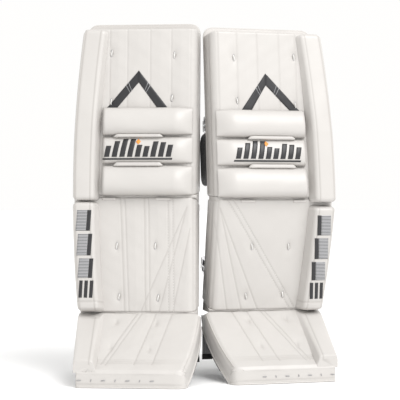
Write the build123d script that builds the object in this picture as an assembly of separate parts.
from build123d import *
import os
from math import radians, tan

# A pair of ice hockey goalie leg pads, standing on their boots.
#
# Every piece is drawn once, for the pad worn on the right leg, and mirrored for the left leg.
# Pad frame: x towards the inner side of the leg, y towards the back, z up, with the floor at
# z = 0 and the plane of the shin's front at y = 0 above the ankle seam.
# A pad has three segments. The shin stands on the ankle seam, the thigh on the knee break, and
# each has its own upright frame with z = 0 at its lower seam and y = 0 on its front.

# ---------------------------------------------------------------- driving dimensions, mm
ANKLE_HEIGHT = 145.0      # ankle seam above the floor
SHIN_LENGTH = 262.0       # ankle seam to knee break
THIGH_LENGTH = 381.0      # knee break to the top of the face
INNER_EDGE = 139.5        # straight inner edge, half the width at the knee
KNEE_OUTER = -139.5       # outer edge at the knee break
TOP_OUTER = -120.0        # outer edge at the top
ANKLE_OUTER = -125.0      # outer edge at the ankle seam
TOE_OUTER = -104.0        # outer edge of the toe, at the floor
THIGH_BOW = 6.0           # how far the outer edge bows out between its ends
SHIN_BOW = 3.0
BODY_DEPTH = 60.0         # face to back, without the liners
COVER = 3.0               # thickness of the covers
FIT = 0.3                 # room between two pieces that only touch
EDGE_RADIUS = 18.0        # rounded inner front edge
BOARD = 3.0               # stiffener thickness
BOARD_DEPTH = 30.0        # stiffener behind the face
BOARD_MARGIN = 16.0       # stiffener inside the outline

BREAK_GAP = 1.5           # half the gap at a foam hinge, at the face
BREAK_ANGLE = 11.0        # each side of a foam hinge opens towards the back by this, degrees

ROLL_WIDTH = 57.0         # outer roll across its base
ROLL_HEIGHT = 28.0        # outer roll in front of the face
ROLL_ROUND = 9.0
UPPER_ROLL = (-10.0, 376.0)      # thigh frame: low, high
UPPER_ROLL_EASE = (150.0, 13.0)  # height at which its top starts to slope in, height of its top end
LOWER_ROLL = (1.5, 247.0)        # shin frame

KNEE_ROLLS = {                   # thigh frame: low, high, how far it stands out
    "knee_roll_lower": (3.0, 66.0, 29.0),
    "knee_roll_middle": (76.0, 131.0, 21.0),
    "knee_roll_upper": (140.0, 199.0, 27.0),
}
KNEE_ROLL_SPAN = (-76.0, 128.0)
WELT_SPAN = (-50.0, 63.0)
WELT_HEIGHTS = ((66.5, 75.5), (131.5, 139.5))
WELT_STANDS = 20.0
WELT_BEVEL = 6.0

BACK_PANEL = 6.0
THIGH_BACK = BODY_DEPTH + BACK_PANEL
BACK_PANEL_RISE = 20.0    # how far the back panel stands above the face
LINER = 11.0
THIGH_LINER = (170.0, 284.0, 175.0)      # width, height, height of its centre
SHIN_LINER = (140.0, 196.0, 122.0)
KNEE_BLOCK_SPAN = (58.0, 118.0)          # landing block below the knee, across the pad
KNEE_BLOCK_REACH = 118.0
KNEE_BLOCK_HEIGHTS = (192.0, 234.0)      # shin frame

TOE_FRONT = -164.0        # front of the toe wall
TOE_WALL = 38.0           # height of the toe wall
TOE_BLOCK_TOP = 56.0      # top of the outer roll's blunt end above the toe
TOE_BLOCK_WIDTH = 49.0
TOE_BLOCK_FLARE = 6.0     # how far it stands outside the toe wall
RIDGE = (-126.0, 58.0)    # where the boot's slope eases towards the toe
TOE_SOLE = 24.0           # depth of the toe's flat underside
TOE_EASE = 4.0            # the toe's upper edge is eased back by this
TOE_EASE_DROP = 8.0       # over this height
TOE_CORNER = ((116.0, -164.0), (125.0, -159.0), (130.0, -145.0))    # arc round the inner toe corner
BOOT_FLARE = ((130.0, -145.0), (144.0, -70.0), (143.0, 60.0))       # arc along the inner edge behind it
FACE_SLOPE = 1.3          # drop of the sloping face for each mm that it is set in
BOOT_REAR_TOP = 42.0      # depth of the boot's rear face at its top
BOOT_REAR_LOW = (28.0, 108.0)    # its lower end: depth, height
BOOT_MITRE = 9.0          # how far the boot's roll falls away in front of the ankle seam
SHIN_MITRE = 5.0          # how far the shin's roll rises in front of it

WING = 11.0               # thickness of the leg wings
WING_PIVOT = 1.0          # a wing folds about a line this far behind the pad
WING_ROOT = 5.0           # and its padding starts this far behind that line
WING_REACH = 135.0        # depth that the wings reach
CALF_WING_X = 101.0       # centre of the calf wings at their top
CALF_WING_TOP = 186.0
CALF_WING_LEAN = 4.1      # calf wings close in towards the ankle, degrees
WING_FOOT = 112.0         # depth of the calf wings at the floor
KNEE_WING_SPAN = (42.0, 160.0)

STRAP = 3.0               # strap thickness
STRAP_WIDTH = 25.0
STRAP_X = 123.0           # middle of a strap's side runs
STRAP_BACK = 151.5        # middle of a strap's back run
STRAP_CORNER = 16.0
KNEE_STRAP_Z = 184.0      # thigh frame
CALF_STRAP_Z = 78.0       # shin frame
STRAP_END = 131.0         # depth where a strap's tip stops, short of its buckle
TAB_END = 92.0            # depth where a buckle's tab ends
BUCKLE = (32.0, 40.0, 4.0)       # buckle frame: deep, high, thick
BUCKLE_BAR = 6.0                 # width of the frame's bars
BUCKLE_GAP = 3.0                 # tab to buckle frame, with the pivot halfway

BOOT_STRAP_PIN = (129.0, 45.0, 112.0)    # where the boot strap hangs from, pad frame
BOOT_STRAP_DROP = 80.0

TOE_BRIDGE_SPAN = (-62.0, 62.0)
TOE_BRIDGE = 5.0
TIE_HOLE_RADIUS = 4.0
TIE_HOLE_SPACING = 60.0

# How each pad stands: side 1 is the right leg, side -1 the left.
PADS = {
    "right": {"side": 1, "x": -146.0, "y": 0.0, "yaw": -5.0, "shin_forward": -4.0, "thigh_back": 4.0,
              "knee_wing_x": 122.0},
    "left": {"side": -1, "x": 153.0, "y": 75.0, "yaw": 15.4, "shin_forward": 12.0, "thigh_back": 6.0,
             "knee_wing_x": 130.0},
}


# ---------------------------------------------------------------- shaping helpers
WIDE = 300.0              # half the extent of cutting shapes, past every piece


def slab(outline, front, back):
    """Solid of a front-view outline (x, z) between two depths."""
    face = Plane.XZ * outline
    return extrude(Pos(0, back, 0) * face, amount=back - front)


def bar(profile, low, high):
    """Solid of a side-view profile (y, z) between two widths."""
    face = Plane.YZ * profile
    return extrude(Pos(low, 0, 0) * face, amount=high - low)


def box_between(low, high):
    """Box from its lowest corner to its highest."""
    size = [b - a for a, b in zip(low, high)]
    centre = [(a + b) / 2 for a, b in zip(low, high)]
    return Pos(*centre) * Box(*size)


def edges_at(solid, axis, x=None, y=None):
    """Edges along an axis whose middle lies at the given x and y."""
    found = solid.edges().filter_by(axis)
    if x is not None:
        found = found.filter_by(lambda e: abs(e.center().X - x) < 0.1)
    if y is not None:
        found = found.filter_by(lambda e: abs(e.center().Y - y) < 0.1)
    return found


def side_arc(bottom, top, outer_bottom, outer_top, bow):
    """The bowed outer edge of a segment, from its bottom to its top."""
    middle = ((outer_bottom + outer_top) / 2 - bow, (bottom + top) / 2)
    return ThreePointArc((outer_bottom, bottom), middle, (outer_top, top))


def segment_outline(length, outer_bottom, outer_top, bow, inset, top_inset):
    """Front view of a segment: straight inner edge, bowed outer edge."""
    top = length - top_inset
    edge = side_arc(0, top, outer_bottom + inset, outer_top + inset, bow)
    rest = Polyline(
        (outer_top + inset, top),
        (INNER_EDGE - inset, top),
        (INNER_EDGE - inset, 0),
        (outer_bottom + inset, 0),
    )
    return make_face(edge + rest)


def thigh_outline(inset=0.0):
    return segment_outline(THIGH_LENGTH, KNEE_OUTER, TOP_OUTER, THIGH_BOW, inset, inset)


def shin_outline(inset=0.0):
    return segment_outline(SHIN_LENGTH, ANKLE_OUTER, KNEE_OUTER, SHIN_BOW, inset, 0.0)


def break_cut(height, direction):
    """Wedge that clears a foam hinge: above the seam (1) or below it (-1)."""
    start = height + direction * BREAK_GAP
    end = start + direction * WIDE * tan(radians(BREAK_ANGLE))
    beyond = height - direction * WIDE
    outline = Polyline((-WIDE, start), (0, start), (WIDE, end), (WIDE, beyond), (-WIDE, beyond), close=True)
    return bar(make_face(outline), -WIDE, WIDE)


def rounded_block(outline, inset, front, back, radius):
    """Slab with its inner front edge rounded."""
    block = slab(outline, front, back)
    return fillet(edges_at(block, Axis.Z, x=INNER_EDGE - inset, y=front), radius)


def segment_cover(outline_of):
    """Leather cover: front, both sides and whatever end the outline closes."""
    outside = rounded_block(outline_of(0.0), 0.0, 0.0, BODY_DEPTH, EDGE_RADIUS)
    inside = rounded_block(outline_of(COVER), COVER, COVER, BODY_DEPTH + 1, EDGE_RADIUS - COVER)
    return outside - inside


def segment_core(outline_of):
    """Two foam layers with room for the stiffener between them."""
    inset = COVER + FIT
    whole = rounded_block(outline_of(inset), inset, inset, BODY_DEPTH, EDGE_RADIUS - COVER)
    slot = slab(outline_of(0.0), BOARD_DEPTH, BOARD_DEPTH + BOARD)
    return whole - slot


def segment_board(outline_of):
    """Stiffener sheet between the two foam layers."""
    return slab(outline_of(BOARD_MARGIN), BOARD_DEPTH + FIT / 2, BOARD_DEPTH + BOARD - FIT / 2)


# ---------------------------------------------------------------- thigh segment
def thigh_cover():
    return segment_cover(thigh_outline) - break_cut(0, 1)


def thigh_core():
    return segment_core(thigh_outline) - break_cut(0, 1)


def thigh_board():
    return segment_board(thigh_outline) - break_cut(BOARD_MARGIN, 1)


def thigh_back_panel():
    """Bound back sheet, which rises above the face."""
    top = THIGH_LENGTH + BACK_PANEL_RISE
    outline = segment_outline(top, KNEE_OUTER, TOP_OUTER, THIGH_BOW, 0.5, 0.0)
    outline = fillet(outline.vertices().sort_by(Axis.Y)[-2:], 24.0)
    return slab(outline, BODY_DEPTH + FIT, THIGH_BACK) - break_cut(0, 1)


def thigh_liner():
    """Padded lining behind the thigh."""
    width, height, middle = THIGH_LINER
    outline = Pos(0, middle) * RectangleRounded(width, height, 22)
    return slab(outline, THIGH_BACK + FIT, THIGH_BACK + LINER)


def outer_roll(span, length, edge_low, edge_high, bow):
    """Raised roll along the outer edge, between two heights of a segment."""
    low, high = span
    shift = ROLL_WIDTH
    outer = side_arc(0, length, edge_low, edge_high, bow)
    inner = Pos(shift, 0) * outer
    below = min(low, 0) - 1
    start = Polyline((edge_low + shift, 0), (edge_low + shift, below), (edge_low, below), (edge_low, 0))
    strip = make_face(outer + Line((edge_high, length), (edge_high + shift, length)) + inner + start)
    band = Pos(0, (low + high) / 2) * Rectangle(2 * WIDE, high - low)
    roll = slab(strip & band, -ROLL_HEIGHT, -FIT)
    front = roll.faces().sort_by(Axis.Y)[0]
    return fillet(front.edges(), ROLL_ROUND)


def outer_roll_upper():
    """Roll beside the knee and thigh, which stands out less and less towards its top."""
    roll = outer_roll(UPPER_ROLL, THIGH_LENGTH, KNEE_OUTER, TOP_OUTER, THIGH_BOW)
    eased_from, top_height = UPPER_ROLL_EASE
    top = UPPER_ROLL[1]
    front = -ROLL_HEIGHT
    above = Polyline((front, eased_from), (-top_height, top), (front, top), close=True)
    return roll - bar(make_face(above), -WIDE, WIDE)


def knee_roll(low, high, stands):
    """Padded roll across the face: a shallow D in side view."""
    front = -FIT
    arc = ThreePointArc((front, low), (front - stands, (low + high) / 2), (front, high))
    profile = make_face(arc + Line((front, high), (front, low)))
    return bar(profile, *KNEE_ROLL_SPAN)


def knee_welts():
    """Two slim bars between the knee rolls, with bevelled ends."""
    welts = []
    for low, high in WELT_HEIGHTS:
        left, right = WELT_SPAN
        upper = ((right - WELT_BEVEL, high), (left + WELT_BEVEL, high))
        outline = make_face(Polyline((left, low), (right, low), *upper, close=True))
        welts.append(slab(outline, -WELT_STANDS, -FIT))
    return Compound(children=welts)


def knee_wing(across):
    """Flap at the inner side of the knee."""
    low, high = KNEE_WING_SPAN
    root = THIGH_BACK + WING_PIVOT + WING_ROOT
    face = make_face(Polyline((root, low), (WING_REACH, low), (WING_REACH, high), (root, high), close=True))
    face = fillet(face.vertices().sort_by(Axis.X)[-2:], 30.0)
    return bar(face, across - WING / 2, across + WING / 2)


# ---------------------------------------------------------------- shin segment
def shin_cover():
    return segment_cover(shin_outline) - break_cut(SHIN_LENGTH, -1) - break_cut(0, 1)


def shin_core():
    return segment_core(shin_outline) - break_cut(SHIN_LENGTH, -1) - break_cut(0, 1)


def shin_board():
    cuts = break_cut(SHIN_LENGTH - BOARD_MARGIN, -1) + break_cut(BOARD_MARGIN, 1)
    return segment_board(shin_outline) - cuts


def shin_liner():
    """Padded lining of the leg channel."""
    width, height, middle = SHIN_LINER
    outline = Pos(0, middle) * RectangleRounded(width, height, 20)
    return slab(outline, BODY_DEPTH + FIT, BODY_DEPTH + LINER)


def outer_roll_lower():
    """Outer roll of the shin, mitred at the ankle."""
    roll = outer_roll(LOWER_ROLL, SHIN_LENGTH, ANKLE_OUTER, KNEE_OUTER, SHIN_BOW)
    low = LOWER_ROLL[0]
    far = 2 * ROLL_HEIGHT
    mitre = Polyline((0, low), (-far, low + 2 * SHIN_MITRE), (-far, low - far), (0, low - far), close=True)
    return roll - bar(make_face(mitre), -WIDE, WIDE)


def knee_block():
    """Landing block under the inner side of the knee."""
    left, right = KNEE_BLOCK_SPAN
    bottom, top = KNEE_BLOCK_HEIGHTS
    block = box_between((left, BODY_DEPTH + LINER + FIT, bottom), (right, KNEE_BLOCK_REACH, top))
    return fillet(block.edges().filter_by(Axis.Z), 8.0)


def calf_wing(side):
    """Flap beside the calf, which reaches down to the floor."""
    root = BODY_DEPTH + WING_PIVOT + WING_ROOT
    below_floor = -210.0
    outline = Polyline(
        (root, below_floor),
        (WING_FOOT, below_floor),
        (WING_FOOT, -110.0),
        (WING_REACH, -60.0),
        (WING_REACH, CALF_WING_TOP),
        (root, CALF_WING_TOP),
        close=True,
    )
    face = make_face(outline)
    corners = face.vertices().filter_by(lambda v: v.Y > below_floor and v.X > root + 1)
    face = fillet(corners, 18.0)
    return calf_wing_place(side) * bar(face, -WING / 2, WING / 2)


def calf_wing_place(side):
    """Turns a calf wing about its top so that its foot comes in."""
    top = Pos(side * CALF_WING_X, 0, CALF_WING_TOP)
    return top * Rot(0, side * CALF_WING_LEAN, 0) * Pos(0, 0, -CALF_WING_TOP)


# ---------------------------------------------------------------- boot segment
BOOT_TOP = ANKLE_HEIGHT - BREAK_GAP
UNDERSIDE_START = TOE_FRONT + TOE_SOLE


def underside_height(depth):
    """Height of the boot's sloping underside at a depth."""
    rear, height = BOOT_REAR_LOW
    return height * (depth - UNDERSIDE_START) / (rear - UNDERSIDE_START)


def underside_depth(height):
    """Depth at which the sloping underside reaches a height."""
    rear, rear_height = BOOT_REAR_LOW
    return UNDERSIDE_START + height * (rear - UNDERSIDE_START) / rear_height


def boot_front_line(inset):
    """Side view of the boot's front, from the ankle to the toe's lower edge, set in by a cover."""
    drop = inset * FACE_SLOPE
    toe = TOE_FRONT + inset
    return [
        (0, BOOT_TOP - drop),
        (RIDGE[0], RIDGE[1] - drop),
        (toe + TOE_EASE, TOE_WALL - drop),
        (toe, TOE_WALL - TOE_EASE_DROP - drop),
        (toe, inset),
    ]


def boot_rear_top(depth, inset):
    """Point on the boot's rear upper edge, below the foam hinge."""
    return (depth, BOOT_TOP - inset * FACE_SLOPE - depth * tan(radians(BREAK_ANGLE)))


def boot_plan(inset=0.0):
    """Top view of the boot, with its rounded inner toe corner and its inner flare."""
    toe = TOE_FRONT + inset
    edge = ANKLE_OUTER + inset
    start, middle, end = TOE_CORNER
    start = (start[0], toe)
    middle = (middle[0] - inset * 0.7, middle[1] + inset * 0.7)
    end, widest, back = [(x - inset, y) for x, y in BOOT_FLARE]
    outer = Polyline((edge, back[1]), (edge, 0), (TOE_OUTER + inset, toe), start)
    corner = ThreePointArc(start, middle, end)
    flare = ThreePointArc(end, widest, back)
    close = Line(back, (edge, back[1]))
    return make_face(outer + corner + flare + close)


def boot_solid(side_points, inset):
    """Solid with the given side view inside the boot's plan."""
    profile = make_face(Polyline(*side_points, close=True))
    return bar(profile, -WIDE, WIDE) & extrude(boot_plan(inset), amount=WIDE)


def boot_cover():
    """Leather cover of the boot, open towards the skate and the shin."""
    sole = (UNDERSIDE_START, 0)
    outside = boot_solid(boot_front_line(0) + [sole, BOOT_REAR_LOW, boot_rear_top(BOOT_REAR_TOP, 0)], 0)
    hollow = boot_solid(boot_front_line(COVER) + [(80, COVER), boot_rear_top(80, COVER)], COVER)
    return outside - hollow


def boot_core():
    """Foam of the boot, clear of its cover."""
    inset = COVER + FIT
    rear = BOOT_REAR_LOW[0] - 2
    sole = (underside_depth(inset), inset)
    side_points = boot_front_line(inset) + [sole, (rear, underside_height(rear)), boot_rear_top(38, inset)]
    return boot_solid(side_points, inset)


def outer_roll_boot():
    """Outer roll along the boot, ending in a blunt block above the toe."""
    profile = make_face(
        Polyline(
            (0, BOOT_TOP + FIT),
            (-ROLL_HEIGHT, BOOT_TOP - BOOT_MITRE),
            (TOE_FRONT + 1, TOE_BLOCK_TOP),
            (TOE_FRONT - 1, TOE_WALL - 6),
            (TOE_FRONT - FIT, TOE_WALL - TOE_EASE_DROP),
            (TOE_FRONT + TOE_EASE - FIT, TOE_WALL + FIT),
            (RIDGE[0], RIDGE[1] + FIT),
            close=True,
        )
    )
    toe_outer = TOE_OUTER - TOE_BLOCK_FLARE
    plan = make_face(
        Polyline(
            (ANKLE_OUTER, 20),
            (ANKLE_OUTER, 0),
            (toe_outer, TOE_FRONT - 4),
            (toe_outer + TOE_BLOCK_WIDTH, TOE_FRONT - 4),
            (ANKLE_OUTER + ROLL_WIDTH, 0),
            (ANKLE_OUTER + ROLL_WIDTH, 20),
            close=True,
        )
    )
    return bar(profile, -WIDE, WIDE) & extrude(plan, amount=WIDE)


def underside_place():
    """Frame on the boot's underside near the toe: x across, z out of the foam, downwards."""
    depth = UNDERSIDE_START + 32
    rear, height = BOOT_REAR_LOW
    slope = height / (rear - UNDERSIDE_START)
    return Plane(origin=(0, depth, underside_height(depth)), x_dir=(1, 0, 0), z_dir=(0, slope, -1))


def toe_bridge():
    """Strip under the toe with two holes for the toe ties."""
    left, right = TOE_BRIDGE_SPAN
    strip = Pos(0, 0, TOE_BRIDGE / 2 + FIT) * Box(right - left, 26, TOE_BRIDGE)
    strip = fillet(strip.edges().filter_by(Axis.Z), 6)
    for x in (-TIE_HOLE_SPACING / 2, TIE_HOLE_SPACING / 2):
        strip -= Pos(x, 0, TOE_BRIDGE / 2) * Cylinder(TIE_HOLE_RADIUS, TOE_BRIDGE * 4)
    return underside_place().location * strip


def boot_strap():
    """Webbing end hanging behind the inner edge of the boot."""
    x, y, z = BOOT_STRAP_PIN
    low = (x - STRAP_WIDTH / 2, y - STRAP / 2, z - BOOT_STRAP_DROP)
    high = (x + STRAP_WIDTH / 2, y + STRAP / 2, z)
    web = box_between(low, high)
    return fillet(web.edges().filter_by(Axis.Y).group_by(Axis.Z)[0], 5)


# ---------------------------------------------------------------- straps and buckles
def strap_loop(root, height):
    """Strap from the outer rear edge, behind the leg, to just short of its buckle."""
    path = FilletPolyline(
        (-STRAP_X, root),
        (-STRAP_X, STRAP_BACK),
        (STRAP_X, STRAP_BACK),
        (STRAP_X, STRAP_END),
        radius=STRAP_CORNER,
    )
    band = make_face(offset_band(path))
    return Pos(0, 0, height - STRAP_WIDTH / 2) * extrude(band, amount=STRAP_WIDTH)


def offset_band(path):
    """Outline of a band of strap thickness along an open path."""
    return offset(path, amount=STRAP / 2, kind=Kind.ARC, side=Side.BOTH)


def buckle_tab(root, height):
    """Leather tab that carries the buckle at the inner rear edge."""
    low = (STRAP_X - STRAP / 2, root, height - STRAP_WIDTH / 2)
    high = (STRAP_X + STRAP / 2, TAB_END, height + STRAP_WIDTH / 2)
    return box_between(low, high)


def buckle(height):
    """Bright metal frame at the end of the tab."""
    deep, high, thick = BUCKLE
    start = TAB_END + BUCKLE_GAP
    centre = (STRAP_X, start + deep / 2, height)
    frame = Pos(*centre) * Box(thick, deep, high)
    frame = fillet(frame.edges().filter_by(Axis.X), 5)
    window = Pos(*centre) * Box(thick * 3, deep - 2 * BUCKLE_BAR, high - 2 * BUCKLE_BAR)
    return frame - window


# ---------------------------------------------------------------- the pads
THIGH_ROOT = THIGH_BACK + 2
SHIN_ROOT = BODY_DEPTH + 2

PIECES = {
    "thigh": {
        "thigh_cover": thigh_cover,
        "thigh_core": thigh_core,
        "thigh_board": thigh_board,
        "thigh_back_panel": thigh_back_panel,
        "thigh_liner": thigh_liner,
        "outer_roll_upper": outer_roll_upper,
        "knee_welts": knee_welts,
        "knee_strap": lambda: strap_loop(THIGH_ROOT, KNEE_STRAP_Z),
        "knee_strap_tab": lambda: buckle_tab(THIGH_ROOT, KNEE_STRAP_Z),
        "knee_buckle": lambda: buckle(KNEE_STRAP_Z),
    },
    "shin": {
        "shin_cover": shin_cover,
        "shin_core": shin_core,
        "shin_board": shin_board,
        "shin_liner": shin_liner,
        "outer_roll_lower": outer_roll_lower,
        "knee_block": knee_block,
        "calf_wing_inner": lambda: calf_wing(1),
        "calf_wing_outer": lambda: calf_wing(-1),
        "calf_strap": lambda: strap_loop(SHIN_ROOT, CALF_STRAP_Z),
        "calf_strap_tab": lambda: buckle_tab(SHIN_ROOT, CALF_STRAP_Z),
        "calf_buckle": lambda: buckle(CALF_STRAP_Z),
    },
    "boot": {
        "boot_cover": boot_cover,
        "boot_core": boot_core,
        "outer_roll_boot": outer_roll_boot,
        "toe_bridge": toe_bridge,
        "boot_strap": boot_strap,
    },
}


def segment_place(segment, pad):
    """Where a segment stands in its pad's frame."""
    ankle = Pos(0, 0, ANKLE_HEIGHT) * Rot(pad["shin_forward"], 0, 0)
    if segment == "boot":
        return Pos(0, 0, 0)
    if segment == "shin":
        return ankle
    flex = pad["shin_forward"] + pad["thigh_back"]
    return ankle * Pos(0, 0, SHIN_LENGTH) * Rot(-flex, 0, 0)


def pad_place(pad):
    """Where a pad stands on the floor."""
    return Pos(pad["x"], pad["y"], 0) * Rot(0, 0, pad["yaw"])


def stand(shape, segment, pad):
    """Moves a piece from its segment's frame to where the pad stands."""
    placed = segment_place(segment, pad) * shape
    if pad["side"] < 0:
        placed = mirror(placed, about=Plane.YZ)
    return pad_place(pad) * placed


def above_floor(shape):
    return shape - box_between((-1000, -1000, -500), (1000, 1000, 0))


def make_pieces():
    """Every node's solid, before the pair is centred."""
    shapes = {}
    for segment, pieces in PIECES.items():
        for name, make in pieces.items():
            shapes[(segment, name)] = make()
    for name, sizes in KNEE_ROLLS.items():
        shapes[("thigh", name)] = knee_roll(*sizes)
    nodes = {}
    for pad_name, pad in PADS.items():
        for (segment, name), shape in shapes.items():
            placed = stand(shape, segment, pad)
            if name.startswith("calf_wing"):
                placed = above_floor(placed)
            nodes[f"{pad_name}_{name}"] = placed
        nodes[f"{pad_name}_knee_wing"] = stand(knee_wing(pad["knee_wing_x"]), "thigh", pad)
    return nodes


def centre_shift(nodes):
    """Move that puts the pair's bounding box over the origin, standing on z = 0."""
    box = Compound(children=[Compound(n.solids()) for n in nodes.values()]).bounding_box()
    middle = box.center()
    return Pos(-middle.X, -middle.Y, -box.min.Z)


def main():
    os.makedirs("parts", exist_ok=True)
    nodes = make_pieces()
    shift = centre_shift(nodes)
    for name, shape in nodes.items():
        export_step(shift * shape, f"parts/{name}.step")


if __name__ == "__main__":
    main()
